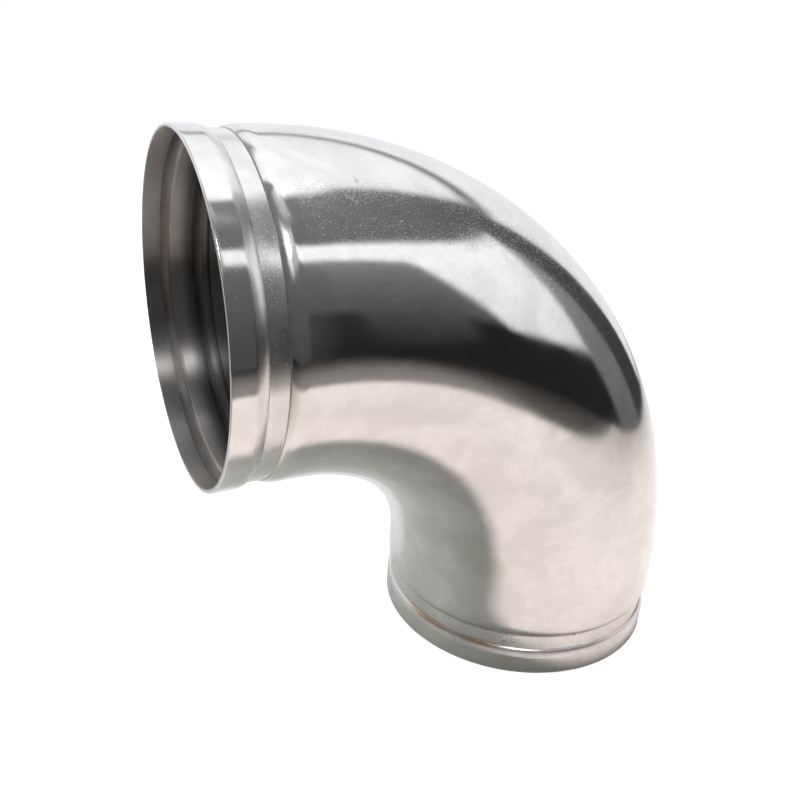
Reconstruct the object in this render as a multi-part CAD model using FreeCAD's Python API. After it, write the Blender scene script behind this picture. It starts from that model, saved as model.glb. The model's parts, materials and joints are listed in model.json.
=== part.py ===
import FreeCAD, Part
import math
import os

# Grooved-end 90 degree pipe elbow in thin-wall stainless steel, millimetres.
# Origin: centre of the lower mouth. +Z runs up the lower leg, the upper mouth faces -X,
# and the centre line bends in the XZ plane.

# Pipe
OD = 168.3             # outside diameter of DN150 (6 inch) pipe
WALL = 2.0             # wall thickness
BEND_RADIUS = 170.0    # centre-line radius of the bend
LEG = 42.0             # straight length from each mouth to the bend's tangent point

# Roll groove, measured from the mouth face
SEAT = 15.88           # lip width: mouth face to the groove's first edge
GROOVE_WIDTH = 8.74    # flat floor of the groove
GROOVE_DEPTH = 2.16
EDGE_R = 0.5           # rounded outer edge of the mouth

# Shoulders of the groove, from the pipe's surface down to the floor: radius of the soft part and
# the slope in degrees where it ends, radius of the tight part and the slope of the wall below it
LIP_SHOULDER = (11.0, 26.0, 2.2, 50.0)
BODY_SHOULDER = (13.0, 30.0, 2.1, 45.0)

# Welds, ground flush outside
COLLAR_LENGTH = 33.0   # length of each grooved end collar
GIRTH_WIDTH = 3.0      # girth weld between a collar and the bend
SEAM_WIDTH = 3.0       # seam welds between the two half shells
ROOT = 0.4             # height of each weld's root inside the bore

R_OUT = OD / 2
R_IN = R_OUT - WALL
R_ROOT = R_IN - ROOT
R_GROOVE = R_OUT - GROOVE_DEPTH
BEND_START = COLLAR_LENGTH + GIRTH_WIDTH
MOUTH_X = -(BEND_RADIUS + LEG)
AXIS_Z = LEG + BEND_RADIUS

V = FreeCAD.Vector


def point(s, r):
    """A point of a collar's half section: s from the mouth face, r from the pipe's axis."""
    return V(r, 0, s)


def line(a, b):
    return Part.LineSegment(a, b).toShape()


def arc(a, mid, b):
    return Part.Arc(a, mid, b).toShape()


def trace(s, r, steps):
    """Edges of a path that starts level at (s, r), and its end.

    Each step is a length and a turn in degrees: a straight line when the turn is zero, a sharp
    corner when the length is zero, else an arc whose radius is the length.
    """
    edges = []
    heading = 0.0
    for size, degrees in steps:
        turn = math.radians(degrees)
        ends = []
        for part in (0.5, 1.0):
            along = heading + turn * part / 2
            reach = 2 * size * math.sin(abs(turn) * part / 2) if degrees else size * part
            ends.append((s + reach * math.cos(along), r + reach * math.sin(along)))
        if size and degrees:
            edges.append(arc(point(s, r), point(*ends[0]), point(*ends[1])))
        elif size:
            edges.append(line(point(s, r), point(*ends[1])))
        if size:
            s, r = ends[1]
        heading += turn
    return edges, s, r


def shoulder(soft_r, soft_slope, tight_r, wall_slope):
    """Length of a groove shoulder along the pipe, and length of its straight wall."""
    soft, steep = math.radians(soft_slope), math.radians(wall_slope)
    drop = soft_r * (1 - math.cos(soft)) + tight_r * (math.cos(soft) - math.cos(steep))
    wall = (GROOVE_DEPTH - drop) / math.sin(steep)
    run = soft_r * math.sin(soft) + tight_r * (math.sin(steep) - math.sin(soft))
    return run + wall * math.cos(steep), wall


def collar_side(start, r, inward, corner_r):
    """Path along one face of a collar's wall, from s = start: lip, groove, body."""
    soft_r, soft, tight_r, steep = LIP_SHOULDER
    run, wall = shoulder(*LIP_SHOULDER)
    edges, s, r = trace(start, r, [
        (SEAT - run - start, 0), (soft_r - inward, -soft), (tight_r - inward, soft - steep),
        (wall, 0), (corner_r, steep), (GROOVE_WIDTH, 0)])
    soft_r, soft, tight_r, steep = BODY_SHOULDER
    wall = shoulder(*BODY_SHOULDER)[1]
    more, s, r = trace(s, r, [
        (corner_r, steep), (wall, 0), (tight_r - inward, soft - steep), (soft_r - inward, -soft)])
    return edges + more + [line(point(s, r), point(COLLAR_LENGTH, r))]


def collar():
    """Grooved end collar, with its mouth at z = 0 and its axis along +Z."""
    edge_in = EDGE_R * (1 - math.sin(math.pi / 4))
    edges = collar_side(EDGE_R, R_OUT, 0.0, 0.0) + collar_side(0.0, R_IN, WALL, WALL)
    edges += [
        arc(point(0, R_OUT - EDGE_R), point(edge_in, R_OUT - edge_in), point(EDGE_R, R_OUT)),
        line(point(0, R_OUT - EDGE_R), point(0, R_IN)),
        line(point(COLLAR_LENGTH, R_IN), point(COLLAR_LENGTH, R_OUT)),
    ]
    section = Part.Face(Part.Wire(Part.__sortEdges__(edges)))
    return section.revolve(V(0, 0, 0), V(0, 0, 1), 360)


def girth_weld():
    """Ring that closes the gap between the lower collar and the bend."""
    base = V(0, 0, COLLAR_LENGTH)
    outer = Part.makeCylinder(R_OUT, GIRTH_WIDTH, base)
    return outer.cut(Part.makeCylinder(R_ROOT, GIRTH_WIDTH, base))


def to_upper_end(shape):
    """Copy of a lower end piece, carried to the upper end."""
    copy = shape.copy()
    copy.rotate(V(0, 0, 0), V(0, 1, 0), 90)
    copy.translate(V(MOUTH_X, 0, AXIS_Z))
    return copy


def shell_section(side):
    """Half annulus on one side of the bend plane, short of it by half a seam."""
    y = side * SEAM_WIDTH / 2
    outer_x = math.sqrt(R_OUT ** 2 - y ** 2)
    inner_x = math.sqrt(R_IN ** 2 - y ** 2)
    z = BEND_START
    return Part.Face(Part.Wire([
        arc(V(outer_x, y, z), V(0, side * R_OUT, z), V(-outer_x, y, z)),
        line(V(-outer_x, y, z), V(-inner_x, y, z)),
        arc(V(-inner_x, y, z), V(0, side * R_IN, z), V(inner_x, y, z)),
        line(V(inner_x, y, z), V(outer_x, y, z)),
    ]))


def seam_section(side):
    """Weld between the half shells: side +1 on the outside of the bend, -1 in the throat."""
    y = SEAM_WIDTH / 2
    outer_x = side * math.sqrt(R_OUT ** 2 - y ** 2)
    inner_x = side * math.sqrt(R_ROOT ** 2 - y ** 2)
    z = BEND_START
    return Part.Face(Part.Wire([
        arc(V(outer_x, -y, z), V(side * R_OUT, 0, z), V(outer_x, y, z)),
        line(V(outer_x, y, z), V(inner_x, y, z)),
        arc(V(inner_x, y, z), V(side * R_ROOT, 0, z), V(inner_x, -y, z)),
        line(V(inner_x, -y, z), V(outer_x, -y, z)),
    ]))


def along_bend(section):
    """Carry a section from the lower girth weld round the bend to the upper one."""
    straight = LEG - BEND_START
    lower = section.extrude(V(0, 0, straight))
    at_tangent = section.copy()
    at_tangent.translate(V(0, 0, straight))
    curve = at_tangent.revolve(V(-BEND_RADIUS, 0, LEG), V(0, -1, 0), 90)
    at_exit = at_tangent.copy()
    at_exit.rotate(V(-BEND_RADIUS, 0, LEG), V(0, -1, 0), 90)
    upper = at_exit.extrude(V(-straight, 0, 0))
    return lower.fuse([curve, upper])


lower_collar = collar()
lower_girth = girth_weld()

parts = {
    "bend_shell_near": along_bend(shell_section(-1)),
    "bend_shell_far": along_bend(shell_section(1)),
    "outer_seam_weld": along_bend(seam_section(1)),
    "inner_seam_weld": along_bend(seam_section(-1)),
    "lower_collar": lower_collar,
    "upper_collar": to_upper_end(lower_collar),
    "lower_girth_weld": lower_girth,
    "upper_girth_weld": to_upper_end(lower_girth),
}

os.makedirs("parts", exist_ok=True)
for name, shape in parts.items():
    shape.exportStep("parts/" + name + ".step")
    box = shape.BoundBox
    print(name, shape.isValid(), len(shape.Solids), round(shape.Volume, 1),
          [round(v, 2) for v in (box.XMin, box.YMin, box.ZMin, box.XMax, box.YMax, box.ZMax)])
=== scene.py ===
import json
import math

import bpy
import numpy as np
from mathutils import Matrix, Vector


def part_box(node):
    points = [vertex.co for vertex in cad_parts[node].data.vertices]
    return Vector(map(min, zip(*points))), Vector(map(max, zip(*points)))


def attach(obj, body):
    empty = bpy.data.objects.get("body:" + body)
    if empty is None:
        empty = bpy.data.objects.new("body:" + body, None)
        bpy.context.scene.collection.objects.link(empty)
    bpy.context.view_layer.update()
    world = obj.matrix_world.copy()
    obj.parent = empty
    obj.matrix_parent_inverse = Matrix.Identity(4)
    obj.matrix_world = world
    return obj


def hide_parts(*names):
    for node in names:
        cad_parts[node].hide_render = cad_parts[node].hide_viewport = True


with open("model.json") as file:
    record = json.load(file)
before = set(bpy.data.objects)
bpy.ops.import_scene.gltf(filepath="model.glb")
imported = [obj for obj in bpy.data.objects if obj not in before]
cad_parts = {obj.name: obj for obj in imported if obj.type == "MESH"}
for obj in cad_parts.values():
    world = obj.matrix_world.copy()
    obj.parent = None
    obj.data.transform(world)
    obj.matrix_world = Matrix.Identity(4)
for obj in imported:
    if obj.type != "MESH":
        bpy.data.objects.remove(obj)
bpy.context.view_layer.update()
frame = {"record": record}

# ---------------------------------------------------------------- sizes, metres, from the frame
mounts = {m["name"]: m for m in frame["record"]["mounts"]}
MM = 0.001
R_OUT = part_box("lower_girth_weld")[1][0]
R_IN = mounts["lower_bore"]["dims"]["r_mm"] * MM
R_GROOVE = mounts["lower_groove"]["dims"]["r_mm"] * MM
GROOVE_WIDTH = mounts["lower_groove"]["dims"]["length_mm"] * MM
SEAT = mounts["lower_groove"]["pos_m"][2] - GROOVE_WIDTH / 2
COLLAR_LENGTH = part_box("lower_collar")[1][2]
BEND_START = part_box("lower_girth_weld")[1][2]
MOUTH_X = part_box("upper_collar")[0][0]
AXIS_Z = mounts["upper_bore"]["pos_m"][2]
LEG = 42 * MM
BEND_RADIUS = AXIS_Z - LEG
OD = 2 * R_OUT
SEAM_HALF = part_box("outer_seam_weld")[1][1]
ROOT = 0.4 * MM

# ---------------------------------------------------------------- mesh building


class Builder:
    """Collects faces with their own corner normals and UVs, and welds equal corners."""

    def __init__(self):
        self.points, self.normals, self.uvs, self.faces, self.slots = [], [], [], [], []
        self.count = 0

    def add(self, points, normals, uvs):
        """Adds an array of points, and returns the number of the first."""
        first = self.count
        self.points.append(points.reshape(-1, 3))
        self.normals.append(normals.reshape(-1, 3))
        self.uvs.append(uvs.reshape(-1, 2))
        self.count += len(self.points[-1])
        return first

    def grid(self, points, normals, uvs, flip=False, slot=0):
        """Quads over a grid of points[row, column]."""
        rows, cols = points.shape[:2]
        index = self.add(points, normals, uvs) + np.arange(rows * cols).reshape(rows, cols)
        quads = np.stack([index[:-1, :-1], index[:-1, 1:], index[1:, 1:], index[1:, :-1]], -1)
        quads = quads.reshape(-1, 4)
        if flip:
            quads = quads[:, ::-1]
        self.faces += quads.tolist()
        self.slots += [slot] * len(quads)
        return index

    def build(self, name, to_world=None):
        points = np.concatenate(self.points)
        normals = np.concatenate(self.normals)
        uvs = np.concatenate(self.uvs)
        if to_world is not None:
            points, normals = to_world(points, normals)
        keys = np.round(points / 2e-7).astype(np.int64)
        _, first, merged = np.unique(keys, axis=0, return_index=True, return_inverse=True)
        merged = merged.reshape(-1)
        mesh = bpy.data.meshes.new(name)
        faces = [merged[f].tolist() for f in self.faces]
        mesh.from_pydata(points[first].tolist(), [], faces)
        corners = np.concatenate([np.asarray(f) for f in self.faces])
        layer = mesh.uv_layers.new(name="Flow")
        layer.data.foreach_set("uv", uvs[corners].astype(np.float32).ravel())
        mesh.polygons.foreach_set("use_smooth", np.ones(len(faces), bool))
        mesh.polygons.foreach_set("material_index", np.array(self.slots, np.int32))
        lengths = np.linalg.norm(normals, axis=1, keepdims=True)
        mesh.normals_split_custom_set((normals / np.maximum(lengths, 1e-12))[corners].tolist())
        piece = bpy.data.objects.new(name, mesh)
        bpy.context.scene.collection.objects.link(piece)
        return piece


def to_upper_end(points, normals):
    """Carries lower end coordinates to the upper end."""
    turned = np.stack([points[:, 2] + MOUTH_X, points[:, 1], AXIS_Z - points[:, 0]], 1)
    return turned, np.stack([normals[:, 2], normals[:, 1], -normals[:, 0]], 1)


# ---------------------------------------------------------------- the bend


def bend_path(arc_steps):
    """Points, outward directions and lengths along the centre line, weld to weld."""
    straight = LEG - BEND_START
    rows = []
    for t in np.linspace(0, 1, 4)[:-1]:
        rows.append(((0, 0, BEND_START + straight * t), (1, 0, 0), straight * t))
    for a in np.linspace(0, math.pi / 2, arc_steps + 1):
        c, s = math.cos(a), math.sin(a)
        centre = (BEND_RADIUS * (c - 1), 0, LEG + BEND_RADIUS * s)
        rows.append((centre, (c, 0, s), straight + BEND_RADIUS * a))
    for t in np.linspace(0, 1, 4)[1:]:
        length = straight + BEND_RADIUS * math.pi / 2 + straight * t
        rows.append(((-BEND_RADIUS - straight * t, 0, AXIS_Z), (0, 0, 1), length))
    return [np.array(column, float) for column in zip(*rows)]


def tube_patch(path, radius, turns, inside=False):
    """Grid of points, normals and UVs on a tube round the path, at the given turns."""
    centres, outward, lengths = path
    across = np.array([0.0, 1.0, 0.0])
    around = (outward[:, None, :] * np.cos(turns)[None, :, None]
              + across * np.sin(turns)[None, :, None])
    points = centres[:, None, :] + radius * around
    uvs = np.stack(np.broadcast_arrays(lengths[:, None], (turns * radius)[None, :]), -1)
    return points, -around if inside else around, uvs


def shell(name, start, end, r_inner, columns, arc_steps):
    """Wall of the bend, closed on all sides.

    start and end are a turn round the pipe in radians, and how many half seams to add to it.
    """
    path = bend_path(arc_steps)
    b = Builder()
    half_out, half_in = (math.asin(SEAM_HALF / r) for r in (R_OUT, r_inner))
    t = np.linspace(0, 1, columns + 1)

    def turns(half):
        a, z = start[0] + start[1] * half, end[0] + end[1] * half
        return a + (z - a) * t

    outer = tube_patch(path, R_OUT, turns(half_out))
    inner = tube_patch(path, r_inner, turns(half_in), inside=True)
    b.grid(*outer, flip=False, slot=0)
    b.grid(*inner, flip=True, slot=1)
    for column, sign in ((0, -1), (-1, 1)):
        rim = np.stack([outer[0][:, column], inner[0][:, column]], 1)
        uvs = np.stack([outer[2][:, column], inner[2][:, column]], 1)
        step = outer[0][:, column] - outer[0][:, 1 if column == 0 else -2]
        normal = step / np.linalg.norm(step, axis=1, keepdims=True)
        b.grid(rim, np.repeat(normal[:, None], 2, 1), uvs, flip=sign < 0, slot=1)
    for row, sign in ((0, -1), (-1, 1)):
        rim = np.stack([outer[0][row], inner[0][row]], 0)
        uvs = np.stack([outer[2][row], inner[2][row]], 0)
        step = outer[0][row] - outer[0][1 if row == 0 else -2]
        normal = step / np.linalg.norm(step, axis=1, keepdims=True)
        b.grid(rim, np.repeat(normal[None], 2, 0), uvs, flip=sign < 0, slot=1)
    return b.build(name)


# ---------------------------------------------------------------- the collars

# Knurled tracks that the groove roller leaves in the bore
KNURL_TEETH = 360
KNURL_DEPTH = 0.30 * MM
KNURL_PITCH = 1.5 * MM
KNURL_TRACKS = ((8.8 * MM, 13.4 * MM), (26.8 * MM, 31.0 * MM))
KNURL_FADE = 0.6 * MM
KNURL_ROW = 0.3 * MM

# Mesh density: columns round a plain ring and round a knurled one, spacing of the dense profile,
# and the longest step and sharpest turn in radians between rings that are kept
COARSE = 360
FINE = 4 * COARSE
DENSE_STEP = 0.02 * MM
LONGEST_STEP = 1.6 * MM
OUTER_TURN = 0.076
INNER_TURN = 0.10


def smooth_profile(corners, step, blur):
    """Even points along a polyline of (s, r), rounded over a length of blur."""
    corners = np.array(corners, float)
    run = np.concatenate([[0], np.cumsum(np.linalg.norm(np.diff(corners, axis=0), axis=1))])
    count = int(run[-1] / step)
    at = np.linspace(0, run[-1], count + 1)
    points = np.stack([np.interp(at, run, corners[:, k]) for k in (0, 1)], 1)
    width = max(1, int(blur / step / 2))
    padded = np.concatenate([
        points[0] - (points[1] - points[0]) * np.arange(width, 0, -1)[:, None],
        points,
        points[-1] + (points[-1] - points[-2]) * np.arange(1, width + 1)[:, None]])
    kernel = np.hanning(2 * width + 3)[1:-1]
    kernel /= kernel.sum()
    return np.stack([np.convolve(padded[:, k], kernel, "valid") for k in (0, 1)], 1)


def thin_out(points, longest, sharpest):
    """Fewest points that keep each step under longest and each turn under sharpest."""
    tangent = np.gradient(points, axis=0)
    angle = np.unwrap(np.arctan2(tangent[:, 1], tangent[:, 0]))
    keep = [0]
    for i in range(1, len(points) - 1):
        far = np.linalg.norm(points[i + 1] - points[keep[-1]]) > longest
        turned = abs(angle[i + 1] - angle[keep[-1]]) > sharpest
        if far or turned:
            keep.append(i)
    keep.append(len(points) - 1)
    return points[keep], angle[keep]


# Shoulders of the groove: radius of the soft part and the slope in degrees where it ends, radius
# of the tight part and the slope of the wall below it
LIP_SHOULDER = (11.0 * MM, 26.0, 2.2 * MM, 50.0)
BODY_SHOULDER = (13.0 * MM, 30.0, 2.1 * MM, 45.0)
FLOOR_CROWN = 0.10 * MM
CREST_CROWN = 0.70 * MM


def trace(s, r, steps):
    """Points of a path that starts level at (s, r), from pairs of a length and a turn."""
    points, heading = [(s, r)], 0.0
    for size, degrees in steps:
        turn = math.radians(degrees)
        count = 24 if degrees else 1
        reach = 2 * size * math.sin(abs(turn) / count / 2) if degrees else size
        for _ in range(count if size else 0):
            s += reach * math.cos(heading + turn / count / 2)
            r += reach * math.sin(heading + turn / count / 2)
            heading += turn / count
            points.append((s, r))
        if not size:
            heading += turn
    return points


def shoulder(soft_r, soft_slope, tight_r, wall_slope):
    """Length of a groove shoulder along the pipe, and length of its straight wall."""
    soft, steep = math.radians(soft_slope), math.radians(wall_slope)
    drop = soft_r * (1 - math.cos(soft)) + tight_r * (math.cos(soft) - math.cos(steep))
    wall = (R_OUT - R_GROOVE - drop) / math.sin(steep)
    run = soft_r * math.sin(soft) + tight_r * (math.sin(steep) - math.sin(soft))
    return run + wall * math.cos(steep), wall


def collar_side(s, r, inward, corner_r, crown):
    """Level path along one face of a collar's wall: lip, groove, body."""
    soft_r, soft, tight_r, steep = LIP_SHOULDER
    run, wall = shoulder(*LIP_SHOULDER)
    points = trace(s, r, [(SEAT - run - s, 0), (soft_r - inward, -soft),
                          (tight_r - inward, soft - steep), (wall, 0), (corner_r, steep)])
    floor_s, floor_r = points[-1]
    points += [(floor_s + GROOVE_WIDTH * t, floor_r + crown * (1 - (2 * t - 1) ** 2))
               for t in np.linspace(0, 1, 41)[1:]]
    soft_r, soft, tight_r, steep = BODY_SHOULDER
    wall = shoulder(*BODY_SHOULDER)[1]
    points += trace(*points[-1], [(corner_r, steep), (wall, 0), (tight_r - inward, soft - steep),
                                  (soft_r - inward, -soft)])[1:]
    return points + [(COLLAR_LENGTH, r)]


def collar_profiles():
    """Outer and inner half sections of a collar, from the mouth face, as (s, r)."""
    edge, inner_edge, wall = 0.5 * MM, 0.1 * MM, R_OUT - R_IN
    split = R_IN + 0.35 * wall
    outer = [(0, split), (0, R_OUT - edge)]
    outer += [(edge * (1 - math.cos(a)), R_OUT - edge * (1 - math.sin(a)))
              for a in np.linspace(0, math.pi / 2, 13)[1:-1]]
    outer += collar_side(edge, R_OUT, 0.0, 0.0, FLOOR_CROWN)
    inner = [(0, split), (0, R_IN + inner_edge)]
    inner += collar_side(inner_edge, R_IN, wall, wall, -CREST_CROWN)
    return outer, inner


def turns_of(count):
    """Angles round a full circle with both ends, and the circle's points, exactly closed."""
    turn = np.arange(count + 1) * 2 * math.pi / count
    same = turn.copy()
    same[-1] = 0.0
    return turn, np.stack([np.cos(same), np.sin(same)], 1)


def ring_normals(points):
    """Inward normals of a closed grid of rings, rows along +Z."""
    d_turn = np.roll(points[:, :-1], -1, 1) - np.roll(points[:, :-1], 1, 1)
    d_turn = np.concatenate([d_turn, d_turn[:, :1]], 1)
    return np.cross(np.gradient(points, axis=0), d_turn)


def knurl_height(s, turn, track):
    """Depth of the diamond marks that the groove roller leaves."""
    a = KNURL_TEETH * turn / (2 * math.pi) + s / KNURL_PITCH
    c = KNURL_TEETH * turn / (2 * math.pi) - s / KNURL_PITCH
    one_way = 0.45 + 0.4 * np.sin(5 * turn + 1.0)
    crossed = one_way + (1 - one_way) * np.abs(np.sin(math.pi * c))
    marks = np.abs(np.sin(math.pi * a)) * crossed
    lo, hi = track
    fade = np.clip((s - lo) / KNURL_FADE, 0, 1) * np.clip((hi - s) / KNURL_FADE, 0, 1)
    uneven = 0.8 + 0.2 * np.sin(3 * turn + 1.0) * np.sin(7 * turn)
    return KNURL_DEPTH * marks * fade * uneven


def collar(name, to_world=None):
    """Grooved end collar: its outside, its bore with the knurled tracks, and its end face."""
    outer, inner = collar_profiles()
    b = Builder()
    pts, angle = thin_out(smooth_profile(outer, DENSE_STEP, 0.45 * MM), LONGEST_STEP, OUTER_TURN)
    turn, circle = turns_of(COARSE)

    def rows(pts, angle, sign):
        n_s, n_r = -np.sin(angle) * sign, np.cos(angle) * sign
        points = np.concatenate([
            pts[:, 1][:, None, None] * circle[None],
            np.broadcast_to(pts[:, 0][:, None, None], (len(pts), COARSE + 1, 1))], 2)
        normals = np.concatenate([
            n_r[:, None, None] * circle[None],
            np.broadcast_to(n_s[:, None, None], (len(pts), COARSE + 1, 1))], 2)
        uvs = np.stack(np.broadcast_arrays(pts[:, 0][:, None], (turn * R_OUT)[None]), -1)
        return points, normals, uvs

    out_points, out_normals, out_uvs = rows(pts, angle, 1)
    b.grid(out_points, out_normals, out_uvs, slot=0)

    dense = smooth_profile(inner, DENSE_STEP, 0.4 * MM)
    splits = [0]
    for lo, hi in KNURL_TRACKS:
        splits += [int(np.argmax(dense[:, 0] > lo)), int(np.argmax(dense[:, 0] > hi))]
    splits.append(len(dense) - 1)
    last_ring = None
    for k in range(len(splits) - 1):
        part = dense[splits[k]:splits[k + 1] + 1]
        if k % 2 == 0:
            pts, angle = thin_out(part, LONGEST_STEP, INNER_TURN)
            in_points, in_normals, in_uvs = rows(pts, angle, -1)
            index = b.grid(in_points, in_normals, in_uvs, flip=True, slot=1)
            if last_ring is not None:
                join(b, index[0], last_ring, True)
            last_ring = index[-1]
        else:
            track = KNURL_TRACKS[k // 2]
            count = int(round((track[1] - track[0]) / KNURL_ROW))
            s = np.linspace(part[0, 0], part[-1, 0], count + 1)
            base = np.interp(s, part[:, 0], part[:, 1])
            fine, fine_circle = turns_of(FINE)
            r = base[:, None] + knurl_height(s[:, None], fine[None], (s[0], s[-1]))
            points = np.concatenate([r[..., None] * fine_circle[None],
                                     np.broadcast_to(s[:, None, None], r.shape + (1,))], -1)
            normals = ring_normals(points)
            uvs = np.stack(np.broadcast_arrays(s[:, None], (fine * R_OUT)[None]), -1)
            index = b.grid(points, normals, uvs, flip=True, slot=1)
            join(b, last_ring, index[0], False)
            last_ring = index[-1]
    # end face against the girth weld
    end = np.stack([out_points[-1], in_points[-1]], 0)
    normal = np.broadcast_to(np.array([0.0, 0.0, 1.0]), end.shape)
    b.grid(end, normal, np.stack([out_uvs[-1], in_uvs[-1]], 0), slot=1)
    return b.build(name, to_world)


def join(b, coarse, fine, coarse_last):
    """Faces between a coarse ring and a fine one that lies on it."""
    ratio = (len(fine) - 1) // (len(coarse) - 1)
    for j in range(len(coarse) - 1):
        c0, c1 = coarse[j], coarse[j + 1]
        between = [fine[ratio * j + i] for i in range(ratio + 1)]
        inner = between[1:-1]
        face = [c1, *inner[::-1], c0] if coarse_last else [c0, *inner, c1]
        b.faces.append([int(v) for v in face])
        b.slots.append(1)


WELD_RIPPLES = 108
WELD_STEPS = 4 * WELD_RIPPLES


def girth_weld(name, to_world=None):
    """Ring between a collar and the bend, flush outside, with a rippled root inside."""
    b = Builder()
    turn, circle = turns_of(WELD_STEPS)

    def band(s, r, n_r, slot, flip):
        s, r = np.asarray(s, float), np.asarray(r, float)
        if r.ndim == 1:
            r = np.repeat(r[:, None], WELD_STEPS + 1, 1)
        z = np.broadcast_to(s[:, None, None], (len(s), WELD_STEPS + 1, 1))
        points = np.concatenate([r[..., None] * circle[None], z], 2)
        uvs = np.stack(np.broadcast_arrays(s[:, None], (turn * R_OUT)[None]), -1)
        b.grid(points, ring_normals(points) * n_r, uvs, flip=flip, slot=slot)
        return points

    s = np.linspace(COLLAR_LENGTH, BEND_START, 13)
    across = np.linspace(-1, 1, 13)
    ripple = 0.94 + 0.06 * np.cos(WELD_RIPPLES * turn[None, :] + 3.0 * across[:, None] ** 2)
    root = R_IN - ROOT * (1 - across[:, None] ** 2) * ripple
    outside = band([COLLAR_LENGTH, BEND_START], [R_OUT, R_OUT], -1, 0, False)
    inside = band(s, root, 1, 1, True)
    for row, sign in ((0, -1), (-1, 1)):
        face = np.stack([outside[row], inside[row]], 0)
        normal = np.broadcast_to(np.array([0.0, 0.0, float(sign)]), face.shape)
        b.grid(face, normal, face[..., :2], flip=sign < 0, slot=1)
    return b.build(name, to_world)


ARC_STEPS = 120
near_shell = shell("near_shell", (-math.pi, 1), (0, -1), R_IN, 128, ARC_STEPS)
far_shell = shell("far_shell", (0, 1), (math.pi, -1), R_IN, 128, ARC_STEPS)
outer_seam = shell("outer_seam", (0, -1), (0, 1), R_IN - ROOT, 4, ARC_STEPS)
inner_seam = shell("inner_seam", (math.pi, -1), (math.pi, 1), R_IN - ROOT, 4, ARC_STEPS)
low_collar = collar("low_collar")
up_collar = collar("up_collar", to_upper_end)
low_weld = girth_weld("low_weld")
up_weld = girth_weld("up_weld", to_upper_end)

STANDS_FOR = (
    (near_shell, "bend_shell_near", "polished_shell"),
    (far_shell, "bend_shell_far", "polished_shell"),
    (outer_seam, "outer_seam_weld", "weld_metal"),
    (inner_seam, "inner_seam_weld", "weld_metal"),
    (low_collar, "lower_collar", "rolled_collar"),
    (up_collar, "upper_collar", "rolled_collar"),
    (low_weld, "lower_girth_weld", "weld_metal"),
    (up_weld, "upper_girth_weld", "weld_metal"),
)

# ---------------------------------------------------------------- materials


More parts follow.
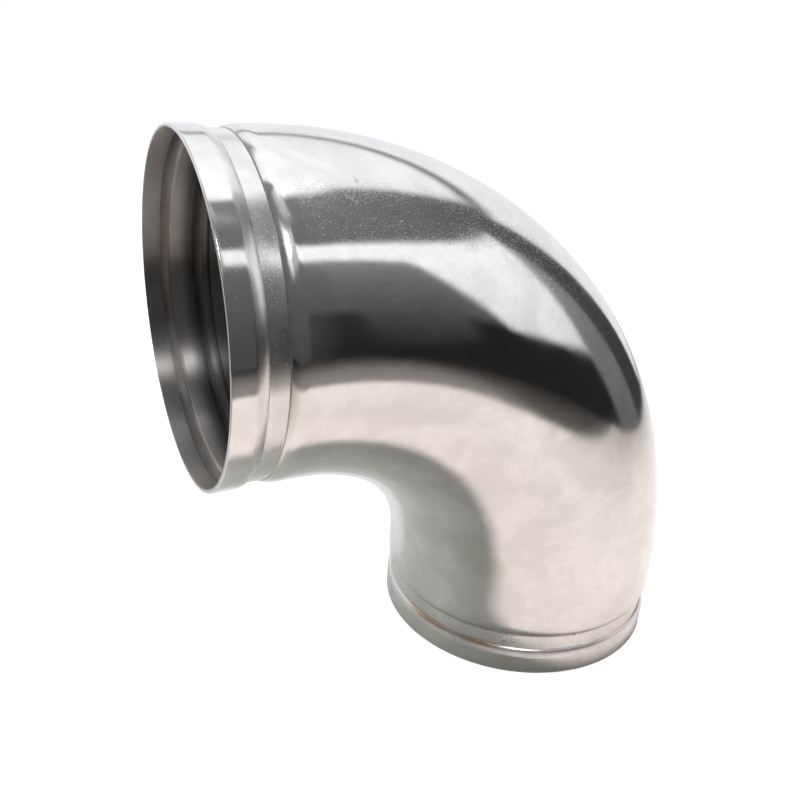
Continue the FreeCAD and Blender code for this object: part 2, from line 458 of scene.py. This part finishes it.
class Finish:
    """A metal finish, built from procedural nodes round one shader."""

    def __init__(self, name, mat=None):
        self.mat = mat or bpy.data.materials.new(name)
        self.mat.use_nodes = True
        self.tree = self.mat.node_tree
        self.shader = self.tree.nodes["Principled BSDF"]
        self.shader.inputs["Metallic"].default_value = 1.0
        place = self.node("TexCoord")
        self.place = place.outputs["Object"]
        split = self.node("SeparateXYZ", {"Vector": place.outputs["UV"]})
        self.along, self.around = split.outputs["X"], split.outputs["Y"]

    def feed(self, socket, value):
        if isinstance(value, bpy.types.NodeSocket):
            self.tree.links.new(value, socket)
        elif isinstance(value, tuple) and socket.type == "RGBA":
            socket.default_value = (*value, 1)
        else:
            socket.default_value = value

    def node(self, kind, inputs=(), **settings):
        made = self.tree.nodes.new("ShaderNode" + kind)
        for key, value in settings.items():
            setattr(made, key, value)
        for key, value in dict(inputs).items():
            self.feed(made.inputs[key], value)
        return made

    def math(self, operation, a, b=0.0):
        return self.node("Math", {0: a, 1: b}, operation=operation).outputs[0]

    def ramp(self, value, x0, x1, y0=0.0, y1=1.0):
        """Smooth step from y0 to y1 while value runs from x0 to x1."""
        return self.node("MapRange", {0: value, 1: x0, 2: x1, 3: y0, 4: y1},
                         interpolation_type="SMOOTHSTEP").outputs[0]

    def mix(self, factor, a, b):
        return self.node("Mix", {0: factor, 6: a, 7: b}, data_type="RGBA").outputs[2]

    def blend(self, factor, a, b):
        return self.node("Mix", {0: factor, 2: a, 3: b}, data_type="FLOAT").outputs[0]

    def shift(self, vector, offset):
        return self.node("VectorMath", {0: vector, 1: offset}, operation="ADD").outputs[0]

    def noise(self, vector, scale, detail=2.0, rough=0.5, warp=0.0):
        return self.node("TexNoise", {"Vector": vector, "Scale": scale, "Detail": detail,
                                      "Roughness": rough, "Distortion": warp}).outputs["Fac"]

    def stretched(self, across, across_scale, place_scale, detail=2.0, seed=0.0):
        """Noise that runs in long streaks, and changes quickly only along one coordinate."""
        place = self.node("VectorMath", {0: self.place, "Scale": place_scale},
                          operation="SCALE").outputs[0]
        quick = self.node("CombineXYZ", {"X": self.math("MULTIPLY", across, across_scale),
                                         "Y": seed, "Z": 0.0}).outputs[0]
        return self.noise(self.shift(place, quick), 1.0, detail)

    def swirls(self, cell, pitch, seed, cut, thin=0.95):
        """Groups of curved hairline scratches, as a polishing wheel leaves them."""
        place = self.shift(self.place, (seed, seed * 0.37, -seed))
        near = self.node("TexVoronoi", {"Vector": place, "Scale": 1 / cell}).outputs["Distance"]
        bent = self.noise(place, 0.6 / cell, 1.0)
        rings = self.math("ADD", self.math("MULTIPLY", near, cell / pitch),
                          self.math("MULTIPLY", bent, 9.0))
        uneven = self.noise(place, 130.0, 2.0, 0.7)
        rings = self.math("ADD", rings, self.math("MULTIPLY", uneven, 0.5))
        line = self.ramp(self.math("SINE", self.math("MULTIPLY", rings, 6.283)), thin, 1.0)
        patch = self.ramp(self.noise(place, 1.9 / cell, 3.0, 0.6), cut, cut + 0.06)
        broken = self.ramp(self.noise(place, 210.0, 1.0), 0.45, 0.6)
        return self.math("MULTIPLY", self.math("MULTIPLY", line, patch), broken)

    def spot(self, centre, radius, ragged):
        """Ragged patch round one point of the surface."""
        gap = self.node("VectorMath", {0: self.place, 1: centre},
                        operation="DISTANCE").outputs["Value"]
        torn = self.math("MULTIPLY", self.noise(self.place, 0.9 / radius, 3.0, 0.6), ragged)
        return self.ramp(self.math("ADD", gap, torn), radius + ragged / 2,
                         0.3 * radius + ragged / 2)

    def specks(self, cell, size, share, seed):
        """Small round pits in a share of the cells."""
        place = self.shift(self.place, (seed, -seed, seed * 0.7))
        cells = self.node("TexVoronoi", {"Vector": place, "Scale": 1 / cell})
        dot = self.ramp(cells.outputs["Distance"], size / cell, 0.5 * size / cell)
        luck = self.node("SeparateColor", {"Color": cells.outputs["Color"]}).outputs[0]
        return self.math("MULTIPLY", dot, self.math("GREATER_THAN", luck, 1 - share))

    def band(self, value, low, high, soft):
        """One between low and high, zero outside."""
        rise = self.ramp(value, low - soft, low)
        fall = self.ramp(value, high, high + soft, 1.0, 0.0)
        return self.math("MULTIPLY", rise, fall)

    def bump(self, layers):
        normal = None
        for height, strength, distance in layers:
            made = self.node("Bump", {"Height": height, "Strength": strength,
                                      "Distance": distance})
            if normal is not None:
                self.feed(made.inputs["Normal"], normal)
            normal = made.outputs["Normal"]
        self.feed(self.shader.inputs["Normal"], normal)

    def across_the_grain(self, amount):
        """Spreads reflections along the pipe, as marks that run round it do."""
        self.shader.inputs["Anisotropic"].default_value = amount
        along = self.node("Tangent", direction_type="UV_MAP", uv_map="Flow")
        self.feed(self.shader.inputs["Tangent"], along.outputs[0])

    def done(self, colour, roughness):
        self.feed(self.shader.inputs["Base Color"], colour)
        self.feed(self.shader.inputs["Roughness"], roughness)
        return self.mat


def polished(name, collar_marks):
    """Buffed stainless steel: faint clouds, hairline swirls, specks and a slight waviness."""
    f = Finish(name)
    clouds = f.ramp(f.noise(f.place, 28.0, 5.0, 0.60, 0.9), 0.40, 0.62)
    fine_clouds = f.ramp(f.noise(f.place, 70.0, 4.0, 0.65, 1.2), 0.44, 0.68)
    streaks = f.ramp(f.swirls(0.11, 0.016, 0.7, 0.3, 0.2), 0.0, 1.0)
    colour = f.mix(clouds, (0.85, 0.825, 0.79), (0.75, 0.73, 0.695))
    colour = f.mix(f.math("MULTIPLY", fine_clouds, 0.6), colour, (0.755, 0.735, 0.70))
    colour = f.mix(f.math("MULTIPLY", streaks, 0.25), colour, (0.72, 0.695, 0.65))
    grain = f.noise(f.place, 1500.0, 3.0, 0.7)
    swirl = f.math("MAXIMUM", f.swirls(0.050, 0.0019, 0.0, 0.50),
                   f.swirls(0.080, 0.0026, 0.31, 0.52))
    nicks = f.math("MULTIPLY", f.swirls(0.0065, 0.0010, 0.9, 0.46, 0.93), 0.4)
    specks = f.math("MAXIMUM", f.specks(0.0045, 0.0006, 0.10, 0.2),
                    f.specks(0.0100, 0.0009, 0.08, 0.6))
    worn = 0.15
    if not collar_marks:
        crown = f.math("MULTIPLY", f.ramp(f.around, -0.086, -0.074),
                       f.ramp(f.around, -0.040, -0.056))
        worn = f.blend(f.math("MULTIPLY", crown, f.ramp(f.along, 0.12, 0.19)), 0.10, 1.0)
    marks = f.math("MAXIMUM", f.math("MULTIPLY", swirl, 0.6), specks)
    marks = f.math("MULTIPLY", f.math("MAXIMUM", marks, nicks), worn)
    rough = f.blend(clouds, 0.07, 0.11)
    mottle = f.math("MULTIPLY", f.ramp(grain, 0.45, 0.70), f.math("MULTIPLY", worn, 0.24))
    rough = f.math("ADD", rough, mottle)
    rough = f.math("ADD", rough, f.math("MULTIPLY", marks, 0.40))
    if collar_marks:
        s = f.math("MULTIPLY", f.along, 1 / MM)
        rolled = f.band(s, 11.5, 29.0, 2.0)
        firm = f.math("MULTIPLY", f.ramp(s, 14.5, 16.5, 0.21, 0.17),
                      f.ramp(s, 24.0, 25.5, 1.0, 0.15))
        # The wall and edge bands turn both concave corners of the groove floor dark brown: painted
        # crease shade.
        wall = f.band(s, 24.62, 25.0, 0.25)
        edge = f.band(s, 15.75, 16.0, 0.2)
        uneven = f.ramp(f.noise(f.place, 20.0, 3.0, 0.6), 0.35, 0.65)
        heat = f.math("MULTIPLY", f.band(s, 25.0, 27.2, 1.0), uneven)
        tint = f.math("MAXIMUM", wall, f.math("MULTIPLY", edge, 0.6))
        colour = f.mix(f.math("MULTIPLY", heat, 0.30), colour, (0.62, 0.52, 0.42))
        colour = f.mix(f.math("MULTIPLY", tint, 0.6), colour, (0.30, 0.24, 0.19))
        gold = f.math("MULTIPLY", f.band(s, 14.2, 16.6, 0.9),
                      f.math("MAXIMUM", f.spot((-0.079, -0.022, 0.0155), 0.022, 0.010),
                             f.spot((-0.060, -0.054, 0.0155), 0.016, 0.010)))
        colour = f.mix(f.math("MULTIPLY", gold, 0.6), colour, (0.62, 0.42, 0.22))
        rust = f.spot((-0.0143, -0.0809, 0.0256), 0.0022, 0.0012)
        colour = f.mix(f.math("MULTIPLY", rust, 0.85), colour, (0.45, 0.20, 0.08))
        rough = f.math("ADD", rough, f.math("MULTIPLY", f.math("MAXIMUM", tint, rust), 0.25))
        rough = f.math("ADD", rough, f.math("MULTIPLY", rolled, firm))
        f.across_the_grain(0.5)
        scuffs = f.math("MULTIPLY", f.spot((-0.050, -0.066, 0.0215), 0.0065, 0.003),
                        f.ramp(f.noise(f.place, 600.0, 2.0), 0.52, 0.6))
        colour = f.mix(f.math("MULTIPLY", scuffs, 0.6), colour, (0.30, 0.28, 0.27))
    else:
        smudge = f.math("MAXIMUM", f.spot((-0.074, -0.051, 0.082), 0.019, 0.012),
                        f.spot((-0.064, -0.060, 0.070), 0.014, 0.010))
        colour = f.mix(f.math("MULTIPLY", smudge, 0.45), colour, (0.62, 0.585, 0.50))
    wave = f.noise(f.place, 34.0, 1.0, 0.4)
    ripple = f.noise(f.place, 110.0, 1.0, 0.5)
    f.bump(((wave, 1.0, 0.00010), (ripple, 1.0, 0.000018), (marks, 0.5, 0.000015)))
    return f.done(colour, rough)


def bore(name, collar_marks, depth_shade=0.45):
    """Duller inside of the pipe, brushed round the bore, its colour darkened by painted shade
    deeper in.
    """
    f = Finish(name)
    clouds = f.ramp(f.noise(f.place, 22.0, 4.0, 0.6, 0.5), 0.38, 0.7)
    colour = f.mix(clouds, (0.57, 0.535, 0.50), (0.47, 0.44, 0.41))
    brushed = f.stretched(f.along, 1500.0, 9.0, 3.0, 5.0)
    colour = f.mix(f.ramp(brushed, 0.45, 0.75, 0.0, 0.15), colour, (0.38, 0.35, 0.32))
    rough = f.math("ADD", f.blend(clouds, 0.40, 0.46), f.ramp(brushed, 0.4, 0.75, -0.02, 0.03))
    if collar_marks:
        s = f.math("MULTIPLY", f.along, 1 / MM)
        tooth = f.math("MULTIPLY", f.around, KNURL_TEETH / (2 * R_OUT))
        slant = f.math("MULTIPLY", f.along, math.pi / KNURL_PITCH)
        one_way, other = (f.math("ABSOLUTE", f.math("SINE", f.math(op, tooth, slant)))
                          for op in ("ADD", "SUBTRACT"))
        # Near-black colour in the knurl hollows is painted shade; the relief of the marks is in
        # the mesh.
        knurl_hollow_shade = f.math("MULTIPLY", one_way, f.ramp(other, 0.0, 0.9, 0.55, 1.0))
        tracks = f.math("MAXIMUM", f.band(s, 9.2, 13.0, 0.4), f.band(s, 27.2, 30.6, 0.4))
        knurl_hollow_shade = f.math("MULTIPLY", tracks, f.ramp(knurl_hollow_shade, 0.5, 0.9))
        colour = f.mix(knurl_hollow_shade, colour, (0.05, 0.042, 0.036))
        heat = f.band(s, 13.3, 13.7, 0.3)
        colour = f.mix(f.math("MULTIPLY", heat, 0.6), colour, (0.26, 0.19, 0.13))
        # Painted shade: the bore darkens past the ridge crest and deeper into the pipe.
        colour = f.mix(f.ramp(s, 19.0, 25.0, 0.0, 0.4), colour, (0.16, 0.15, 0.14))
    else:
        # Painted shade deep inside the pipe: the bend's bore is darkened, and the weld roots more.
        colour = f.mix(depth_shade, colour, (0.20, 0.185, 0.17))
    f.across_the_grain(0.95)
    return f.done(colour, rough)


polished_bend = polished("polished_bend", False)
polished_collar = polished("polished_collar", True)
finishes = {
    "polished_shell": (polished_bend, bore("bore_bend", False)),
    "rolled_collar": (polished_collar, bore("bore_collar", True)),
    "weld_metal": (polished_bend, bore("bore_bead", False, 0.85)),
}
for piece, node, slot_name in STANDS_FOR:
    for finish in finishes[slot_name]:
        piece.data.materials.append(finish)
    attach(piece, "root")
    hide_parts(node)

# ---------------------------------------------------------------- studio

CENTRE = np.array([-0.06, 0.0, 0.15])
DOME_RADIUS = 12
DOME_STEP = 0.75                   # degrees between the dome's points
STEEL_TINT = (0.80, 0.775, 0.74)   # share of each colour that the steel reflects


def light(level):
    """Light that polished steel shows as a grey level from 0 to 255."""
    v = np.asarray(level, float) / 255
    return ((v + 0.055) / 1.055)[..., None] ** 2.4 / np.array(STEEL_TINT)


def coverage(az, el, corners, soft):
    """How far each direction lies inside a card with soft edges, from 0 to 1."""
    corners = np.array(corners, float)
    inside = np.zeros(az.shape, bool)
    nearest = np.full(az.shape, 1e9)
    for (x0, y0), (x1, y1) in zip(corners, np.roll(corners, -1, axis=0)):
        dx, dy = x1 - x0, y1 - y0
        t = np.clip(((az - x0) * dx + (el - y0) * dy) / (dx * dx + dy * dy), 0, 1)
        nearest = np.minimum(nearest, np.hypot(az - x0 - t * dx, el - y0 - t * dy))
        if y0 != y1:
            inside ^= ((y0 > el) != (y1 > el)) & (az < dx * (el - y0) / dy + x0)
    t = np.clip(np.where(inside, nearest, -nearest) / (2 * soft) + 0.5, 0, 1)
    return t * t * (3 - 2 * t)


# Plain soft cards round the part: corners by azimuth and elevation in degrees, width of the soft
# edge, grey level at the foot of the card and at its top. Later cards stand in front.
CARDS = (
    ([(-90, -90), (270, -90), (270, 100), (-90, 100)], 1, 20, 140),    # room
    ([(105, -30), (160, -30), (160, 10), (105, 5)], 3, 30, 30),        # black flag
    ([(60, 30), (190, 50), (190, 100), (60, 100)], 1.5, 80, 150),      # ceiling
    ([(-65, -40), (65, -40), (75, 30), (-65, 30)], 3, 210, 230),       # backdrop
    ([(-65, 30), (70, 35), (85, 65), (130, 80), (130, 100), (-65, 100)], 3, 230, 270),
    ([(-90, 30), (-20, 30), (-5, 55), (-90, 60)], 6, 150, 150),        # grey card
    ([(65, -15), (75, 33), (90, 34), (85, -15)], 1.5, 50, 75),         # dark flag
    ([(85, -15), (90, 34), (105, 5), (105, -15)], 1.5, 90, 140),
    ([(130, 35), (155, 45), (155, -15), (140, 0)], 2, 30, 140),        # reflector
    ([(90, 34), (105, 4), (130, 6), (135, 36)], 2, 215, 245),          # window
    ([(90, 33), (135, 34), (165, 43), (165, 52)], 2, 240, 255),
    ([(165, 42), (205, 32), (230, 60), (165, 62)], 5, 160, 200),       # side softbox
    ([(195, 35), (210, 40), (220, 60), (200, 60)], 5, 240, 240),
    ([(140, 65), (270, 72), (270, 100), (120, 100)], 5, 150, 250),     # top softbox
    ([(195, 47), (207, 47), (207, 57), (195, 57)], 2, 800, 800),       # lamp
)


def surround():
    """Dome of soft cards that only the steel sees."""
    az, el = np.meshgrid(np.arange(-88, 272, DOME_STEP), np.arange(-90, 90 + DOME_STEP, DOME_STEP))
    colour = np.zeros(az.shape + (3,))
    for corners, soft, foot_level, top_level in CARDS:
        heights = [corner_el for _, corner_el in corners]
        level = np.interp(el, (min(heights), max(heights)), (foot_level, top_level))
        cover = coverage(az, el, corners, soft)[..., None]
        colour = colour * (1 - cover) + light(level) * cover
    top = np.clip((el - 80) / 8, 0, 1)[..., None]
    colour += (light(250) - colour) * top * top * (3 - 2 * top)
    a, e = np.radians(az), np.radians(el)
    ways = np.stack([np.sin(a) * np.cos(e), np.cos(a) * np.cos(e), np.sin(e)], -1)
    points = CENTRE + DOME_RADIUS * ways
    rows, cols = az.shape
    index = np.arange(rows * cols).reshape(rows, cols)
    right = np.roll(index, -1, axis=1)
    quads = np.stack([index[:-1], right[:-1], right[1:], index[1:]], -1).reshape(-1, 4)
    mesh = bpy.data.meshes.new("surround")
    mesh.from_pydata(points.reshape(-1, 3), [], quads)
    layer = mesh.color_attributes.new("light", "FLOAT_COLOR", "POINT")
    layer.data.foreach_set(
        "color", np.concatenate([colour, np.ones(az.shape + (1,))], -1).astype(np.float32).ravel())
    obj = bpy.data.objects.new("surround", mesh)
    bpy.context.scene.collection.objects.link(obj)
    mat = bpy.data.materials.new("surround_cards")
    mat.use_nodes = True
    tree = mat.node_tree
    tree.nodes.clear()
    paint = tree.nodes.new("ShaderNodeVertexColor")
    paint.layer_name = "light"
    shine = tree.nodes.new("ShaderNodeEmission")
    out = tree.nodes.new("ShaderNodeOutputMaterial")
    tree.links.new(paint.outputs["Color"], shine.inputs["Color"])
    tree.links.new(shine.outputs[0], out.inputs[0])
    mat.cycles.emission_sampling = "NONE"
    mesh.materials.append(mat)
    return obj


def seen_only_in_reflections(obj):
    """Hides an object from everything but glossy rays."""
    obj.visible_camera = False
    obj.visible_diffuse = False
    obj.visible_transmission = False
    obj.visible_volume_scatter = False
    obj.visible_shadow = False


def plane(name, x0, y0, x1, y1, z, colour, glow):
    """Pale matt sheet, with a little light of its own."""
    mesh = bpy.data.meshes.new(name)
    mesh.from_pydata([(x0, y0, z), (x1, y0, z), (x1, y1, z), (x0, y1, z)], [], [(0, 1, 2, 3)])
    obj = bpy.data.objects.new(name, mesh)
    bpy.context.scene.collection.objects.link(obj)
    mat = bpy.data.materials.new(name + "_paper")
    mat.use_nodes = True
    node = mat.node_tree.nodes["Principled BSDF"]
    node.inputs["Base Color"].default_value = (*colour, 1)
    node.inputs["Roughness"].default_value = 1.0
    node.inputs["Specular IOR Level"].default_value = 0.0
    node.inputs["Emission Color"].default_value = (1, 1, 1, 1)
    node.inputs["Emission Strength"].default_value = glow
    mesh.materials.append(mat)
    return obj


floor = plane("floor", -20, -20, 20, 20, -0.1 * MM, (0.25, 0.25, 0.25), 1.0)
floor.visible_glossy = False
floor.visible_diffuse = False
floor.visible_shadow = False
sheet = plane("sheet", -4.5 * OD, -4.4 * OD, 4.5 * OD, 9 * OD, -0.2 * MM, (0.8, 0.8, 0.8), 0.0)
seen_only_in_reflections(sheet)


def shade_sheet():
    """Paper with painted shade: it darkens towards its edges and under the throat, and turns bluer
    to the back.
    """
    paint = Finish("sheet_shade", sheet.data.materials[0])
    split = paint.node("SeparateXYZ", {"Vector": paint.place})
    x, y = (paint.math("DIVIDE", split.outputs[axis], OD) for axis in "XY")
    # Painted shade: the sheet's brightness falls off to the right, towards both ends and past its
    # front edge.
    across = paint.node("MapRange", {0: x, 1: 0.3, 2: 3.8, 3: 0.98, 4: 0.52}).outputs[0]
    right_end = paint.ramp(x, 3.8, 4.4, 1.0, 0.2)
    left_end = paint.ramp(x, -3.1, -0.9, 0.3, 1.0)
    tail = paint.math("MULTIPLY", paint.ramp(y, -4.2, -2.3, 0.04, 0.24),
                      paint.ramp(x, 0.5, 1.5, 1.0, 0.45))
    edge = paint.math("SUBTRACT", y, paint.ramp(x, -0.6, 1.2, 0.0, -0.05))
    front = paint.blend(paint.ramp(edge, -2.33, -2.03), tail, paint.ramp(y, -1.4, -0.7, 0.86, 1.0))
    # Painted shadow of the part: the sheet darkens under and behind the throat.
    under = paint.math("MULTIPLY", paint.ramp(x, 0.6, 1.0, 1.0, 0.0),
                       paint.math("MULTIPLY", paint.ramp(y, -0.2, 0.05),
                                  paint.ramp(y, 1.2, 1.7, 1.0, 0.0)))
    painted_throat_shadow = paint.blend(under, 1.0, paint.ramp(y, 0.36, 0.50, 0.87, 0.6))
    shade = 1.0
    for factor in (across, right_end, left_end, front, painted_throat_shadow):
        shade = paint.math("MULTIPLY", factor, shade)
    tint = paint.mix(paint.ramp(y, -0.6, 1.0), (0.86, 0.86, 0.86), (0.89, 0.93, 0.97))
    paint.feed(paint.shader.inputs["Base Color"], paint.mix(shade, (0.0, 0.0, 0.0), tint))
    paint.shader.inputs["Metallic"].default_value = 0.0


shade_sheet()
dome = surround()
seen_only_in_reflections(dome)

world = bpy.data.worlds.new("studio")
bpy.context.scene.world = world
world.use_nodes = True
world.node_tree.nodes["Background"].inputs["Color"].default_value = (1, 1, 1, 1)
world.node_tree.nodes["Background"].inputs["Strength"].default_value = 1.0
world.cycles_visibility.glossy = False
world.cycles_visibility.diffuse = False


def sun(name, angle, energy, colour, azimuth, elevation):
    """Distant lamp that lights the sheet, which only the steel sees."""
    data = bpy.data.lights.new(name, "SUN")
    data.angle = math.radians(angle)
    data.energy = energy
    data.color = colour
    lamp = bpy.data.objects.new(name, data)
    bpy.context.scene.collection.objects.link(lamp)
    lamp.rotation_euler = (math.radians(90 - elevation), 0, math.radians(180 - azimuth))
    lamp.visible_glossy = False
    lamp.visible_camera = False


sun("fill", 100, 3.2, (0.96, 1.0, 0.95), -25, 42)
sun("key", 8, 2.5, (1.0, 0.87, 0.865), 20, 86)

# ---------------------------------------------------------------- camera

CAMERA_TURN = (-28.24, 23.56, 3.50)            # azimuth, elevation and roll, degrees
CAMERA_PLACE = (-1.7279, -2.1790, 1.9765)      # in pipe diameters
a, e, roll = (math.radians(turn) for turn in CAMERA_TURN)
back = np.array([math.sin(a) * math.cos(e), -math.cos(a) * math.cos(e), math.sin(e)])
right = np.cross([0, 0, 1], back)
right /= np.linalg.norm(right)
up = np.cross(back, right)
cam_x = math.cos(roll) * right + math.sin(roll) * up
cam_y = -math.sin(roll) * right + math.cos(roll) * up
cam_data = bpy.data.cameras.new("camera")
cam_data.sensor_width = 36
cam_data.lens = 36.89
cam = bpy.data.objects.new("camera", cam_data)
bpy.context.scene.collection.objects.link(cam)
m = Matrix.Identity(4)
for k in range(3):
    m[k][0], m[k][1], m[k][2] = cam_x[k], cam_y[k], back[k]
    m[k][3] = CAMERA_PLACE[k] * OD
cam.matrix_world = m
bpy.context.scene.camera = cam
bpy.context.scene.view_settings.view_transform = "Standard"
